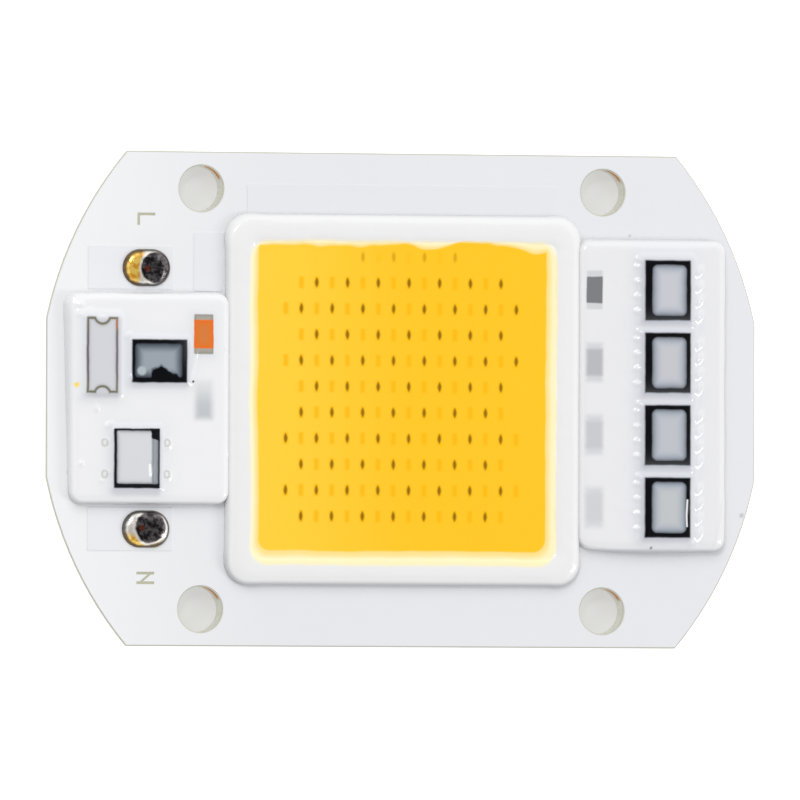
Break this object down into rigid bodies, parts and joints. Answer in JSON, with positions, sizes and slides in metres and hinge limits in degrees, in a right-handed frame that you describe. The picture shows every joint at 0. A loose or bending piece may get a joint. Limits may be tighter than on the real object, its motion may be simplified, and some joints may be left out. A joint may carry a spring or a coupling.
{
  "type": "chip-on-board led module",
  "caption": "Flat board with rounded ends, a square yellow chip-on-board light bed in a white dam, and potted driver parts on both sides.",
  "frame": {"origin": "middle of the board's flat back face, which is also the middle of the screw-hole pattern", "axes": "+X along the board from the mains side to the driver side, +Y across it towards the live pad, +Z out of the lit face"},
  "size_m": [0.06, 0.04, 0.0033],
  "materials": {
    "aluminium": "rolled sheet, milled and drilled edges",
    "insulation": "filled epoxy, seen as a thin line at the edges",
    "copper": "bare copper, dull",
    "mask": "white solder mask, satin",
    "solder": "bright tin solder",
    "plating": "matt tin and silver plating",
    "led_die": "polished blue-grey chip",
    "gold": "drawn gold wire",
    "phosphor": "smooth yellow silicone filled with phosphor",
    "silicone": "glossy white silicone",
    "fuse_ceramic": "fired ceramic, matt",
    "package": "black moulding compound",
    "lead": "tin-plated copper leads",
    "capacitor_ceramic": "orange-brown ceramic",
    "resistor_ceramic": "black glaze on ceramic"
  },
  "bodies": {
    "root": {"aluminium_core": "aluminium", "insulation_layer": "insulation", "copper_tracks": "copper", "terminal_letters": "copper", "solder_mask": "mask", "live_pad_solder": "solder", "neutral_pad_solder": "solder", "solder_joints": "solder", "bond_pads": "plating", "led_chips": "led_die", "bond_wires": "gold", "phosphor_bed": "phosphor", "silicone_dam": "silicone", "left_potting": "silicone", "right_potting": "silicone", "fuse_body": "fuse_ceramic", "fuse_terminals": "copper", "surge_suppressor_body": "package", "surge_suppressor_tabs": "lead", "input_capacitor_body": "capacitor_ceramic", "input_capacitor_caps": "plating", "bleed_resistor_body": "resistor_ceramic", "bleed_resistor_caps": "plating", "bridge_rectifier_body": "package", "bridge_rectifier_leads": "lead", "driver_1_body": "package", "driver_1_leads": "lead", "driver_2_body": "package", "driver_2_leads": "lead", "driver_3_body": "package", "driver_3_leads": "lead", "driver_4_body": "package", "driver_4_leads": "lead", "set_resistor_1_body": "resistor_ceramic", "set_resistor_1_caps": "plating", "set_resistor_2_body": "resistor_ceramic", "set_resistor_2_caps": "plating", "set_resistor_3_body": "resistor_ceramic", "set_resistor_3_caps": "plating", "set_resistor_4_body": "resistor_ceramic", "set_resistor_4_caps": "plating"}
  },
  "joints": []
}
